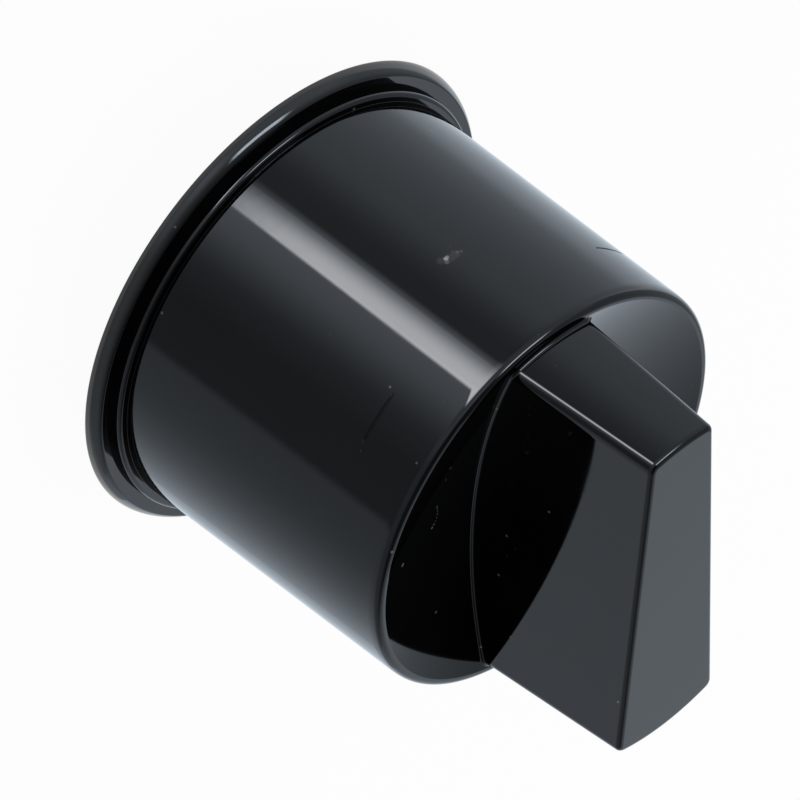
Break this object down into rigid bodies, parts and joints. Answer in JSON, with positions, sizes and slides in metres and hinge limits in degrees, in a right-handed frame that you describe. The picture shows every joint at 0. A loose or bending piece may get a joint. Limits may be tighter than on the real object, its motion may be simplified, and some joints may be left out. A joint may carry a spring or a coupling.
{
  "type": "steam_knob",
  "caption": "Glossy black moulded steam knob for an espresso machine, round flanged body with a dished end and a wedge-shaped finger grip",
  "frame": {"origin": "centre of the flange's back face, on the knob's axis", "axes": "+Z runs along the knob's axis from the flange to the grip, +Y to the narrow pointer end of the grip, +X across the grip"},
  "size_m": [0.04, 0.04, 0.041],
  "materials": {
    "black_gloss_plastic": "polished black thermoset moulding, with a few dust specks and fine scratches"
  },
  "bodies": {
    "root": {"steam_knob": "black_gloss_plastic"}
  },
  "joints": []
}
